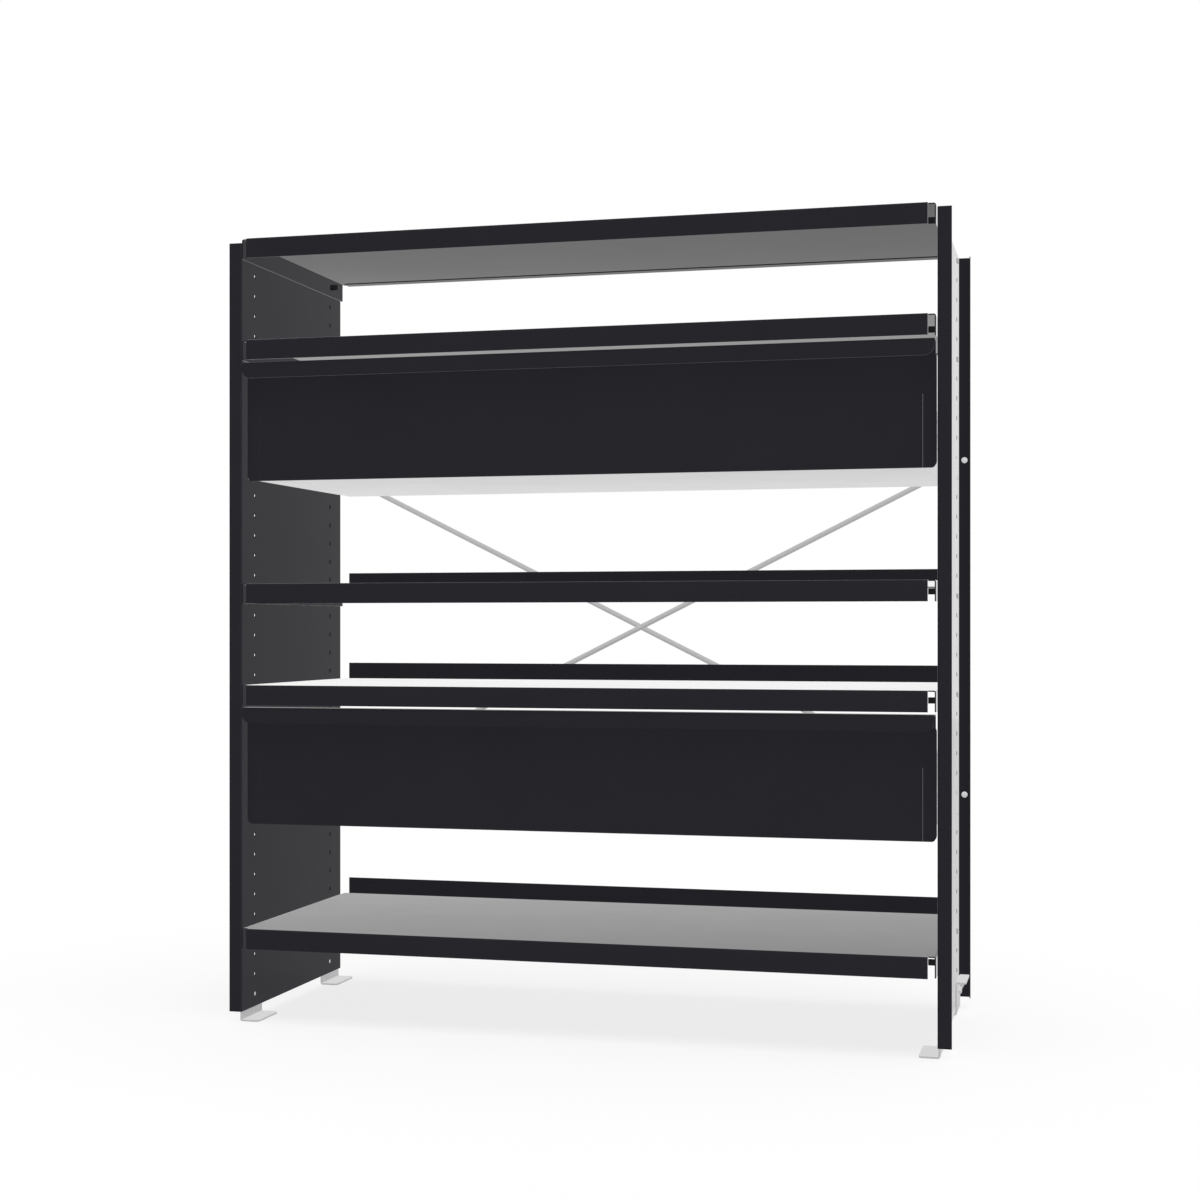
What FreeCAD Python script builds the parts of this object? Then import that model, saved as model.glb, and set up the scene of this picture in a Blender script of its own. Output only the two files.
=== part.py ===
import FreeCAD
import Part
import math
import os

# Open shelving unit of folded metal sheet: two perforated side panels, five shelves with a stop
# along the rear edge, two drawers on side runners, a crossed rod brace and four foot brackets.
# Millimetres. X runs across the width, Y from the front to the back, Z up from the floor.

# Overall sizes
clear_width = 850.0             # between the inner faces of the two side panels
panel_depth = 325.0
hole_pitch = 25.0
hole_count = 38
first_hole_rise = 15.5          # bottom edge of a side panel to its first hole
top_margin = 9.5                # last hole to the top edge of a side panel
foot_rise = 12.0                # floor to the bottom edge of a side panel

# Rows of holes that carry something, counted from the bottom; number one is the topmost
shelf_rows = {1: 37, 2: 32, 3: 20, 4: 15, 5: 3}
drawer_rows = {"upper": 26, "lower": 9}
shelf_above_drawer = {"upper": 2, "lower": 4}

# Side panels
panel_sheet = 1.0
bend_inside = 1.0               # inside radius of every fold except those of the trays
flange_reach = 16.2             # inner face of the web to the outer edge of a flange
rear_lip = 12.0                 # return lip on the outer edge of the rear flange
hole_diameter = 5.0
hole_column_inset = 40.0        # each column of holes from the nearer face of the panel
pin_gap = 0.3                   # round the pins and bolts in their holes
open_rows = (23,)               # free row offered for another shelf, drawn as full rounds
hole_sides = 8                  # all other holes in the panels are drawn with flats
pin_sides = 6                   # pins, nuts and the hidden holes that the pins pass through
turned_sides = 10               # bolt heads, spacers, rollers and rods

# Shelves
shelf_sheet = 1.5
shelf_rise = 13.5               # row of holes to the top of the shelf
shelf_drop = 11.0               # row of holes to the lower edge of its flanges
shelf_overhang = 8.5            # in front of the side panels
shelf_side_gap = 1.3            # to each web
corner_notch = 10.0             # web to the end of the front flange, past the cut-out corner
end_flange_setback = 7.0        # depth of the cut-out corner behind the front of the shelf
end_flange_rear_gap = 0.3       # to the rear face of the side panels

# Stop along the rear edge of each shelf
stop_sheet = 1.5
stop_setback = 6.0              # behind the rear face of the side panels
stop_height = 21.7              # above the top of the shelf
stop_leg = 18.5                 # under the shelf
stop_gap = 1.2                  # rear edge of the shelf to the stop

# Clips that hook the shelves into the webs
clip_depth = 24.0
clip_height = 7.4
clip_width = 5.9
clip_neck = 2.6
clip_neck_depth = 8.0
clip_neck_height = 5.0
hook_width = 4.0
hook_height = 6.2
hook_thickness = 2.2

# Drawers
drawer_sheet = 1.5
drawer_side_gap = 2.8           # front panel to each web
drawer_top_gap = 3.0            # under the flange of the shelf above
drawer_drop = 8.9               # row of holes to the lower edge of the drawer
drawer_setback = 13.6           # front panel behind the front face of the side panels
lip_lead = 5.8                  # finger lip in front of the side panels
lip_height = 19.5
lip_corner = 12.0
front_corner = 5.0
slit_inset = 14.6               # edge of the front panel to its slit
slit_width = 0.2
slit_height = 84.0
tray_sheet = 1.2
tray_bend = 0.6
tray_height = 87.0
tray_hem = 8.0
tray_rear_gap = 10.0            # to the rear face of the side panels
hem_relief = 1.0

# Side runners of the drawers
runner_sheet = 1.2
runner_height = 17.0
runner_width = 10.0
runner_lip = 3.2
runner_foot = 6.0               # row of holes to the lower edge of the runner
track_rise = 37.5               # row of holes to the middle of the channel
runner_front_gap = 5.0          # to the back of the drawer front
runner_rear_gap = 13.0          # to the rear face of the side panels
rail_sheet = 1.5
rail_play = 0.4                 # above and below the rail head and the roller
rail_head_inset = 4.0           # web to the rail head
rail_front_gap = 7.0            # to the back of the drawer front
rail_leg_height = 16.0
roller_inset = 13.0             # centre of the roller in front of the rear end of the tray
roller_space = 12.0             # end of the rail head to the centre of the roller
roller_width = 4.8
roller_start = 3.3              # web to the roller
axle_diameter = 4.0
rivet_head = 8.0
rivet_head_height = 1.4

# Foot brackets
foot_sheet = 2.0
foot_length = 60.0
foot_front_gap = 1.0            # to the front fold of the side panel
foot_rear_gap = 4.0             # to its rear fold
foot_plate = 24.5               # width of the plate on the floor
foot_leg_rise = 29.5            # bottom edge of the side panel to the top of the bracket
foot_flange_gap = 0.7           # lip of the side panel to the edge of the bracket flange
foot_corner = 6.0

# Crossed rods behind the unit
rod_diameter = 7.0
rod_gap = 0.3                   # between the two rods where they cross
rod_low = 260.1                 # bottom edge of the side panel to the lower bolts
rod_high_margin = 259.9         # top edge of the side panel to the upper bolts
eye_thickness = 3.0
eye_width = 12.0
eye_length = 20.0
eye_taper = 24.0
taper_steps = 3
eye_overlap = 2.0               # of the flat eye into the taper
spacer_length = 21.5
spacer_diameter = 10.0

# Bolts and nuts
bolt_head = 7.7
bolt_head_height = 2.6
bolt_head_edge = 0.8
bolt_tail = 0.5                 # past the nut
nut_across_flats = 8.0
nut_height = 4.0

# Derived positions
panel_height = first_hole_rise + (hole_count - 1) * hole_pitch + top_margin
half_width = clear_width / 2
rod_offset = (rod_diameter + rod_gap) / 2
rear_reach = spacer_length + eye_thickness / 2 + rod_offset + rod_diameter / 2
overall_depth = shelf_overhang + panel_depth + rear_reach
front_face = shelf_overhang - overall_depth / 2
rear_face = front_face + panel_depth
panel_top = foot_rise + panel_height
web_inner = -half_width
web_outer = web_inner - panel_sheet
hole_radius = hole_diameter / 2
pin_radius = hole_radius - pin_gap
flat_radius = hole_radius / math.cos(math.pi / hole_sides)
bore_radius = hole_radius / math.cos(math.pi / pin_sides)
hole_columns = (front_face + hole_column_inset, rear_face - hole_column_inset)
shelf_front = front_face - shelf_overhang
stop_front = rear_face + stop_setback
shelf_rear = stop_front - stop_gap
shelf_end = web_inner + shelf_side_gap
front_panel = front_face + drawer_setback
front_back = front_panel + drawer_sheet
drawer_edge = web_inner + drawer_side_gap
tray_side = drawer_edge + slit_inset + slit_width
tray_rear = rear_face - tray_rear_gap
brace_x = (web_outer + web_inner - flange_reach + panel_sheet) / 2
nut_radius = nut_across_flats / math.sqrt(3)
cut_margin = 1.0                # by which a cutting shape passes the metal

parts = {}


def point(x, y, z):
    return FreeCAD.Vector(x, y, z)


def row_height(row):
    return foot_rise + first_hole_rise + row * hole_pitch


def block(x0, x1, y0, y1, z0, z1):
    return Part.makeBox(x1 - x0, y1 - y0, z1 - z0, point(x0, y0, z0))


def bar_across(x0, x1, y, z, radius):
    return Part.makeCylinder(radius, x1 - x0, point(x0, y, z), point(1, 0, 0))


def bar_back(x, y0, y1, z, radius):
    return Part.makeCylinder(radius, y1 - y0, point(x, y0, z), point(0, 1, 0))


def mirrored(shape):
    return shape.mirror(point(0, 0, 0), point(1, 0, 0))


def extruded(corners, run):
    wire = Part.makePolygon(corners + [corners[0]])
    return Part.Face(wire).extrude(run)


def ring_of_corners(sides, radius):
    """Corners of a regular outline that lies inside a circle, with a flat at the bottom."""
    turns = [2 * math.pi * (i + 0.5) / sides for i in range(sides)]
    return [(radius * math.sin(turn), radius * math.cos(turn)) for turn in turns]


def peg_across(x0, x1, y, z, radius, sides):
    corners = [point(x0, y + a, z + b) for a, b in ring_of_corners(sides, radius)]
    return extruded(corners, point(x1 - x0, 0, 0))


def peg_back(x, y0, y1, z, radius, sides):
    corners = [point(x + a, y0, z + b) for a, b in ring_of_corners(sides, radius)]
    return extruded(corners, point(0, y1 - y0, 0))


def button_head(sides, place):
    """Low bolt head with a sloping rim. The place function takes across, up and out."""
    rings = []
    for radius, out in ((bolt_head / 2, 0),
                        (bolt_head / 2, bolt_head_height - bolt_head_edge),
                        (bolt_head / 2 - bolt_head_edge, bolt_head_height)):
        corners = [place(a, b, out) for a, b in ring_of_corners(sides, radius)]
        rings.append(Part.makePolygon(corners + [corners[0]]))
    return Part.makeLoft(rings, True, True)


def rounded_side(side, directions, radii):
    """Straight and curved pieces along one face of a folded sheet in section."""
    pieces = []
    start = side[0]
    for i in range(1, len(side) - 1):
        before = directions[i - 1]
        after = directions[i]
        turn = math.acos(before[0] * after[0] + before[1] * after[1])
        radius = radii[i - 1]
        length = radius * math.tan(turn / 2)
        corner = side[i]
        enter = (corner[0] - before[0] * length, corner[1] - before[1] * length)
        leave = (corner[0] + after[0] * length, corner[1] + after[1] * length)
        inward = (after[0] - before[0], after[1] - before[1])
        size = math.hypot(inward[0], inward[1])
        reach = radius / math.cos(turn / 2) - radius
        middle = (corner[0] + inward[0] / size * reach, corner[1] + inward[1] / size * reach)
        pieces.append((start, enter))
        pieces.append((enter, middle, leave))
        start = leave
    pieces.append((start, side[-1]))
    return pieces


def folded_sheet(path, sheet, inside, place, run):
    """Solid of a folded sheet. The path follows one face in section, the metal lies to its left."""
    directions = []
    for a, b in zip(path, path[1:]):
        length = math.hypot(b[0] - a[0], b[1] - a[1])
        directions.append(((b[0] - a[0]) / length, (b[1] - a[1]) / length))
    normals = [(-d[1], d[0]) for d in directions]
    other = [(path[0][0] + normals[0][0] * sheet, path[0][1] + normals[0][1] * sheet)]
    path_radii = []
    other_radii = []
    for i in range(1, len(path) - 1):
        before = normals[i - 1]
        after = normals[i]
        scale = sheet / (1 + before[0] * after[0] + before[1] * after[1])
        other.append((path[i][0] + (before[0] + after[0]) * scale,
                      path[i][1] + (before[1] + after[1]) * scale))
        turns_left = directions[i - 1][0] * directions[i][1] > directions[i - 1][1] * directions[i][0]
        path_radii.append(inside + sheet if turns_left else inside)
        other_radii.append(inside if turns_left else inside + sheet)
    other.append((path[-1][0] + normals[-1][0] * sheet, path[-1][1] + normals[-1][1] * sheet))
    there = rounded_side(path, directions, path_radii)
    backwards = [(-d[0], -d[1]) for d in reversed(directions)]
    back = rounded_side(other[::-1], backwards, other_radii[::-1])
    pieces = there + [(path[-1], other[-1])] + back + [(other[0], path[0])]
    edges = []
    for piece in pieces:
        ends = [place(*at) for at in piece]
        if len(ends) == 3:
            edges.append(Part.Arc(ends[0], ends[1], ends[2]).toShape())
        else:
            edges.append(Part.makeLine(ends[0], ends[1]))
    return Part.Face(Part.Wire(edges)).extrude(run)


def corner_cut(x, z, toward_x, radius, y0, y1):
    """Sliver that leaves a rounded lower corner on an upright sheet facing the front."""
    far_x = x + toward_x * radius
    square = block(min(x, far_x), max(x, far_x), y0, y1, z, z + radius)
    return square.cut(bar_back(far_x, y0, y1, z + radius, radius))


# Side panels: one sheet folded to a channel that opens outward, with a lip on the rear flange
flange_edge = web_inner - flange_reach
panel_path = [
    (flange_edge, front_face),
    (web_inner, front_face),
    (web_inner, rear_face),
    (flange_edge, rear_face),
    (flange_edge, rear_face - rear_lip),
]
panel = folded_sheet(panel_path, panel_sheet, bend_inside,
                     lambda a, b: point(a, b, foot_rise), point(0, 0, panel_height))
rod_heights = (foot_rise + rod_low, panel_top - rod_high_margin)
punches = []
for column in hole_columns:
    for row in range(hole_count):
        ends = (web_outer - cut_margin, web_inner + cut_margin)
        if row in open_rows:
            punches.append(bar_across(ends[0], ends[1], column, row_height(row), hole_radius))
        else:
            punches.append(peg_across(ends[0], ends[1], column, row_height(row), flat_radius, hole_sides))
for height in rod_heights:
    punches.append(peg_back(brace_x, rear_face - panel_sheet - cut_margin, rear_face + cut_margin,
                            height, flat_radius, hole_sides))
panel = panel.cut(punches)
parts["left_side_panel"] = panel
parts["right_side_panel"] = mirrored(panel)


# Shelves: a sheet folded down at the front and at both ends, open at the corners
shelf_bend = bend_inside + shelf_sheet
for number, row in shelf_rows.items():
    height = row_height(row)
    top = height + shelf_rise
    low = height - shelf_drop
    front_path = [(shelf_rear, top), (shelf_front, top), (shelf_front, low)]
    front_end = web_inner + corner_notch
    body = folded_sheet(front_path, shelf_sheet, bend_inside,
                        lambda a, b: point(front_end, a, b), point(-2 * front_end, 0, 0))
    top_edge = shelf_end + shelf_bend
    end_front = shelf_front + end_flange_setback
    strip = block(top_edge, -top_edge, end_front, shelf_rear, top - shelf_sheet, top)
    end_rear = rear_face - end_flange_rear_gap
    end_path = [(front_end + shelf_bend, top), (shelf_end, top), (shelf_end, low)]
    end = folded_sheet(end_path, shelf_sheet, bend_inside,
                       lambda a, b: point(a, end_front, b), point(0, end_rear - end_front, 0))
    ends = [end, mirrored(end)]
    body = body.fuse([strip] + ends).removeSplitter()
    punches = []
    for column in hole_columns:
        punch = peg_across(shelf_end - cut_margin, shelf_end + shelf_sheet + cut_margin,
                           column, height, bore_radius, pin_sides)
        punches.append(punch)
        punches.append(mirrored(punch))
    parts["shelf_%d" % number] = body.cut(punches)

    # Stop: an angle under the rear edge of the shelf, standing up behind it
    leg_top = top - shelf_sheet
    stop_path = [(stop_front, top + stop_height), (stop_front, leg_top),
                 (stop_front + stop_sheet - stop_leg, leg_top)]
    parts["rear_stop_%d" % number] = folded_sheet(
        stop_path, stop_sheet, bend_inside,
        lambda a, b: point(front_end, a, b), point(-2 * front_end, 0, 0))

    # Clips: a block inside each end flange with a pin and a hook through the web
    clips = []
    for column in hole_columns:
        seat = shelf_end + shelf_sheet
        neck_end = seat + clip_neck
        grip = block(neck_end, neck_end + clip_width, column - clip_depth / 2, column + clip_depth / 2,
                     height - clip_height / 2, height + clip_height / 2)
        neck = block(seat, neck_end, column - clip_neck_depth / 2, column + clip_neck_depth / 2,
                     height - clip_neck_height / 2, height + clip_neck_height / 2)
        hook_face = web_outer - pin_gap
        pin = peg_across(hook_face, neck_end, column, height, pin_radius, pin_sides)
        hook = block(hook_face - hook_thickness, hook_face, column - hook_width / 2, column + hook_width / 2,
                     height + pin_radius - hook_height, height + pin_radius)
        clip = grip.fuse([neck, pin, hook]).removeSplitter()
        clips.append(clip)
        clips.append(mirrored(clip))
    parts["shelf_clips_%d" % number] = Part.makeCompound(clips)


# Drawers: a folded front with a finger lip, an open tray behind it and a rail on each side
for name, row in drawer_rows.items():
    height = row_height(row)
    low = height - drawer_drop
    high = row_height(shelf_rows[shelf_above_drawer[name]]) - shelf_drop - drawer_top_gap
    lip_front = front_face - lip_lead
    lip_back = lip_front + drawer_sheet
    lip_low = high - lip_height
    fold = high - drawer_sheet
    front_path = [(lip_back, lip_low), (lip_back, fold), (front_panel, fold), (front_panel, low)]
    front = folded_sheet(front_path, drawer_sheet, bend_inside,
                         lambda a, b: point(drawer_edge, a, b), point(-2 * drawer_edge, 0, 0))
    cuts = []
    for side in (1, -1):
        edge = drawer_edge * side
        cuts.append(corner_cut(edge, lip_low, side, lip_corner,
                               lip_front - cut_margin, lip_back + cut_margin))
        cuts.append(corner_cut(edge, low, side, front_corner,
                               front_panel - cut_margin, front_back + cut_margin))
        slit_start = edge + side * slit_inset
        slit_end = slit_start + side * slit_width
        cuts.append(block(min(slit_start, slit_end), max(slit_start, slit_end),
                          front_panel - cut_margin, front_back + cut_margin,
                          low - cut_margin, low + slit_height))
    parts[name + "_drawer_front"] = front.cut(cuts)

    floor_top = low + tray_sheet
    tray_top = low + tray_height
    parts[name + "_drawer_bottom"] = block(tray_side, -tray_side, front_back, tray_rear, low, floor_top)
    side_path = [(tray_side + tray_hem, tray_top), (tray_side, tray_top), (tray_side, floor_top)]
    wall = folded_sheet(side_path, tray_sheet, tray_bend,
                        lambda a, b: point(a, front_back, b), point(0, tray_rear - front_back, 0))
    parts[name + "_drawer_left_side"] = wall
    parts[name + "_drawer_right_side"] = mirrored(wall)

    back_start = tray_side + tray_sheet
    back_path = [(tray_rear, floor_top), (tray_rear, tray_top), (tray_rear - tray_hem, tray_top)]
    back = folded_sheet(back_path, tray_sheet, tray_bend,
                        lambda a, b: point(back_start, a, b), point(-2 * back_start, 0, 0))
    relief = block(back_start - cut_margin, tray_side + tray_hem + hem_relief,
                   tray_rear - tray_hem - cut_margin, tray_rear + cut_margin,
                   tray_top - tray_sheet - tray_bend - hem_relief, tray_top + cut_margin)
    parts[name + "_drawer_back"] = back.cut([relief, mirrored(relief)])

    # Runner: a channel with lips above a strip on the web, held by rivets through two holes of the row
    track = height + track_rise
    runner_low = track - runner_height / 2
    runner_high = track + runner_height / 2
    runner_edge = web_inner + runner_width
    runner_corners = [
        (runner_edge, runner_high - runner_lip),
        (runner_edge, runner_high),
        (web_inner, runner_high),
        (web_inner, height - runner_foot),
        (web_inner + runner_sheet, height - runner_foot),
        (web_inner + runner_sheet, runner_low),
        (runner_edge, runner_low),
        (runner_edge, runner_low + runner_lip),
        (runner_edge - runner_sheet, runner_low + runner_lip),
        (runner_edge - runner_sheet, runner_low + runner_sheet),
        (web_inner + runner_sheet, runner_low + runner_sheet),
        (web_inner + runner_sheet, runner_high - runner_sheet),
        (runner_edge - runner_sheet, runner_high - runner_sheet),
        (runner_edge - runner_sheet, runner_high - runner_lip),
    ]
    runner_front = front_back + runner_front_gap
    runner_rear = rear_face - runner_rear_gap
    runner = extruded([point(a, runner_front, b) for a, b in runner_corners],
                      point(0, runner_rear - runner_front, 0))
    runner = runner.cut([peg_across(web_inner - cut_margin, web_inner + runner_sheet + cut_margin,
                                    column, height, bore_radius, pin_sides) for column in hole_columns])
    parts[name + "_runner_left"] = runner
    parts[name + "_runner_right"] = mirrored(runner)
    rivets = []
    for column in hole_columns:
        seat = web_inner + runner_sheet
        tail_face = web_outer - pin_gap
        shank = peg_across(tail_face, seat, column, height, pin_radius, pin_sides)
        head = peg_across(seat, seat + rivet_head_height, column, height, rivet_head / 2, turned_sides)
        tail = block(tail_face - hook_thickness, tail_face, column - hook_width / 2, column + hook_width / 2,
                     height + pin_radius - hook_height, height + pin_radius)
        rivet = shank.fuse([head, tail]).removeSplitter()
        rivets.append(rivet)
        rivets.append(mirrored(rivet))
    parts[name + "_runner_rivets"] = Part.makeCompound(rivets)

    # Rail: an extruded bar on the tray whose head runs in the channel, with an axle for a roller
    head_height = runner_height - 2 * runner_sheet - 2 * rail_play
    leg_outer = tray_side - rail_sheet
    head_start = web_inner + rail_head_inset
    head_end = head_start + rail_sheet
    rail_front = front_back + rail_front_gap
    axle_y = tray_rear - roller_inset
    head_rear = axle_y - roller_space
    half_web = rail_sheet / 2
    rail_corners = [
        (head_start, -head_height / 2),
        (head_end, -head_height / 2),
        (head_end, -half_web),
        (leg_outer, -half_web),
        (leg_outer, -rail_leg_height / 2),
        (tray_side, -rail_leg_height / 2),
        (tray_side, rail_leg_height / 2),
        (leg_outer, rail_leg_height / 2),
        (leg_outer, half_web),
        (head_end, half_web),
        (head_end, head_height / 2),
        (head_start, head_height / 2),
    ]
    rail = extruded([point(a, rail_front, track + b) for a, b in rail_corners],
                    point(0, head_rear - rail_front, 0))
    leg = block(leg_outer, tray_side, head_rear, tray_rear,
                track - rail_leg_height / 2, track + rail_leg_height / 2)
    axle = peg_across(web_inner + roller_start, leg_outer, axle_y, track, axle_diameter / 2, turned_sides)
    rail = rail.fuse([leg, axle]).removeSplitter()
    parts[name + "_drawer_left_rail"] = rail
    parts[name + "_drawer_right_rail"] = mirrored(rail)
    roller_x = web_inner + roller_start
    roller = peg_across(roller_x, roller_x + roller_width, axle_y, track, head_height / 2, turned_sides)
    roller = roller.cut(peg_across(roller_x - cut_margin, roller_x + roller_width + cut_margin,
                                   axle_y, track, axle_diameter / 2 + 2 * pin_gap, turned_sides))
    parts[name + "_drawer_rollers"] = Part.makeCompound([roller, mirrored(roller)])


# Foot brackets: a plate on the floor, a leg up the outside of the web and a flange in the channel
foot_top = foot_rise + foot_leg_rise
foot_outer = web_outer - foot_sheet
foot_path = [
    (flange_edge + panel_sheet + foot_flange_gap, foot_top - foot_sheet),
    (foot_outer, foot_top - foot_sheet),
    (foot_outer, 0),
    (foot_outer + foot_plate, 0),
]
fold_reach = panel_sheet + bend_inside
foot_starts = {
    "front": front_face + fold_reach + foot_front_gap,
    "rear": rear_face - fold_reach - foot_rear_gap - foot_length,
}
stud_height = row_height(0)
studs = []
nuts = []
for column, (place_name, start) in zip(hole_columns, foot_starts.items()):
    foot = folded_sheet(foot_path, foot_sheet, bend_inside,
                        lambda a, b: point(a, start, b), point(0, foot_length, 0))
    plate_edge = foot_outer + foot_plate
    cuts = [peg_across(foot_outer - cut_margin, web_outer + cut_margin, column, stud_height,
                       bore_radius, pin_sides)]
    for edge, inward in ((start, 1), (start + foot_length, -1)):
        centre_y = edge + inward * foot_corner
        square = block(plate_edge - foot_corner, plate_edge, min(edge, centre_y), max(edge, centre_y),
                       0, foot_sheet)
        round_part = Part.makeCylinder(foot_corner, foot_sheet, point(plate_edge - foot_corner, centre_y, 0))
        cuts.append(square.cut(round_part))
    foot = foot.cut(cuts)
    parts["foot_%s_left" % place_name] = foot
    parts["foot_%s_right" % place_name] = mirrored(foot)
    nut_outer = foot_outer - nut_height
    nut = peg_across(nut_outer, foot_outer, column, stud_height, nut_radius, pin_sides)
    nut = nut.cut(peg_across(nut_outer - cut_margin, foot_outer + cut_margin, column, stud_height,
                             bore_radius, pin_sides))
    # The root of the stud fills the hole of the web, flush with its inner face
    root = peg_across(web_outer, web_inner, column, stud_height, flat_radius, hole_sides)
    shank = peg_across(nut_outer - bolt_tail, web_outer, column, stud_height, pin_radius, pin_sides)
    stud = root.fuse(shank)
    studs += [stud, mirrored(stud)]
    nuts += [nut, mirrored(nut)]
parts["foot_studs"] = Part.makeCompound(studs)
parts["foot_nuts"] = Part.makeCompound(nuts)


# Brace: two equal rods with flattened ends, one turned over so that they pass where they cross
eye_plane = rear_face + spacer_length + eye_thickness / 2
rod_run = -2 * brace_x
rod_climb = rod_heights[1] - rod_heights[0]
rod_length = math.hypot(rod_run, rod_climb)
rod_angle = math.degrees(math.atan2(rod_climb, rod_run))


def rod_section(x, share):
    """Outline across the rod: flat at share 0 and round, set off from the eye, at share 1."""
    ease = share * share * (3 - 2 * share)
    thick = eye_thickness / 2 + (rod_diameter - eye_thickness) / 2 * ease
    wide = eye_width / 2 + (rod_diameter - eye_width) / 2 * ease
    corners = []
    for a, b in ring_of_corners(turned_sides, 1.0):
        corners.append(point(x, rod_offset * ease + a * thick, b * wide))
    return Part.makePolygon(corners + [corners[0]])


taper_start = eye_length - eye_width / 2
places = []
for step in range(taper_steps + 1):
    share = step / taper_steps
    places.append((taper_start + eye_taper * share, share))
sections = [rod_section(x, share) for x, share in places]
sections += [rod_section(rod_length - x, share) for x, share in reversed(places)]
rod = Part.makeLoft(sections, True, True)
for end, inward in ((0, 1), (rod_length, -1)):
    inner = end + inward * (taper_start + eye_overlap)
    eye = block(min(end, inner), max(end, inner), -eye_thickness / 2, eye_thickness / 2,
                -eye_width / 2, eye_width / 2)
    eye = eye.fuse(bar_back(end, -eye_thickness / 2, eye_thickness / 2, 0, eye_width / 2))
    rod = rod.fuse(eye)
    rod = rod.cut(peg_back(end, -eye_thickness, eye_thickness, 0, bore_radius, pin_sides))
rod = rod.removeSplitter()

falling = rod.copy()
falling.rotate(point(0, 0, 0), point(0, 1, 0), rod_angle)
falling.translate(point(brace_x, eye_plane, rod_heights[1]))
parts["brace_rod_falling"] = falling
rising = rod.mirror(point(0, 0, 0), point(0, 1, 0))
rising.rotate(point(0, 0, 0), point(0, 1, 0), -rod_angle)
rising.translate(point(brace_x, eye_plane, rod_heights[0]))
parts["brace_rod_rising"] = rising

spacers = []
bolts = []
nuts = []
flange_front = rear_face - panel_sheet
spacer_end = rear_face + spacer_length
nut_face = spacer_end + eye_thickness
nut_end = nut_face + nut_height
for height in rod_heights:
    bore = peg_back(brace_x, rear_face - cut_margin, nut_end + cut_margin, height, bore_radius, pin_sides)
    spacer = peg_back(brace_x, rear_face, spacer_end, height, spacer_diameter / 2, turned_sides).cut(bore)
    head = button_head(turned_sides, lambda a, b, out: point(brace_x + a, flange_front - out, height + b))
    bolt = head.fuse(peg_back(brace_x, flange_front, nut_end + bolt_tail, height, pin_radius, pin_sides))
    nut = peg_back(brace_x, nut_face, nut_end, height, nut_radius, pin_sides).cut(bore)
    spacers += [spacer, mirrored(spacer)]
    bolts += [bolt, mirrored(bolt)]
    nuts += [nut, mirrored(nut)]
parts["brace_spacers"] = Part.makeCompound(spacers)
parts["brace_bolts"] = Part.makeCompound(bolts)
parts["brace_nuts"] = Part.makeCompound(nuts)

os.makedirs("parts", exist_ok=True)
for node, shape in parts.items():
    shape.exportStep("parts/%s.step" % node)
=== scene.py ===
import bmesh
import bpy
import math
from mathutils import Matrix, Vector


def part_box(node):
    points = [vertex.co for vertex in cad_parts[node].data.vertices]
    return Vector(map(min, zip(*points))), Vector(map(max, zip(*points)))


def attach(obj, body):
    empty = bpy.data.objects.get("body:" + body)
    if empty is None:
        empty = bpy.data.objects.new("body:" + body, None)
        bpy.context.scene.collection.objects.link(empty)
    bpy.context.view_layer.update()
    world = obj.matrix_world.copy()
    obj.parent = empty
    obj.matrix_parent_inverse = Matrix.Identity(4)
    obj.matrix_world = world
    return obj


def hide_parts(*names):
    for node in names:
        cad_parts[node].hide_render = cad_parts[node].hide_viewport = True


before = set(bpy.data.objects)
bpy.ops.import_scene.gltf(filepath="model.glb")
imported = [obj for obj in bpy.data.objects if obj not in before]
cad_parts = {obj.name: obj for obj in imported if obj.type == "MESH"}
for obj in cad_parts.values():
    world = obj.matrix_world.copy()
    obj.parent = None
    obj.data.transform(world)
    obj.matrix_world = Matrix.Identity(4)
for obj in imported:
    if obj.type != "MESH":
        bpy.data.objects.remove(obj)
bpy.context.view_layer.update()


# Side panels: two uprights of thin sheet, folded outward to a shallow channel and punched with
# two columns of holes. A smooth dark satin coat is sprayed on after folding, so it gathers to a
# thin dull rim round every hole and lies thinnest on the cut edges.
mm = 0.001
panel_sheet = 1.0 * mm
hole_pitch = 25 * mm
hole_count = 38
first_hole_rise = 15.5 * mm
hole_column_inset = 40 * mm
covered_rows = (0, 9, 10, 26, 27)  # by the feet and the runners
rim_sides = 16
rim_bore = 2.48 * mm
rim_reach = 3.1 * mm
rim_build = 0.04 * mm
rim_edge_build = 0.02 * mm
burr_build = 0.34 * mm


def add(tree, kind, inputs, **settings):
    """Puts a node in a tree. An input is a plain value or the socket that feeds it."""
    placed = tree.nodes.new(kind)
    for key, value in settings.items():
        setattr(placed, key, value)
    for key, value in inputs.items():
        if isinstance(value, bpy.types.NodeSocket):
            tree.links.new(value, placed.inputs[key])
        else:
            placed.inputs[key].default_value = value
    return placed


def mixed(tree, share, first, second):
    """Colour between two colours."""
    mix = add(tree, "ShaderNodeMix", {0: share, 6: first, 7: second}, data_type="RGBA")
    return mix.outputs[2]


def effect(name, takes, gives):
    """Empty shader node group with named sockets, and its two ends."""
    tree = bpy.data.node_groups.new(name, "ShaderNodeTree")
    for label, kind in takes:
        tree.interface.new_socket(label, in_out="INPUT", socket_type="NodeSocket" + kind)
    for label, kind in gives:
        tree.interface.new_socket(label, in_out="OUTPUT", socket_type="NodeSocket" + kind)
    start = tree.nodes.new("NodeGroupInput")
    end = tree.nodes.new("NodeGroupOutput")
    return tree, start.outputs, end.inputs


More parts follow.
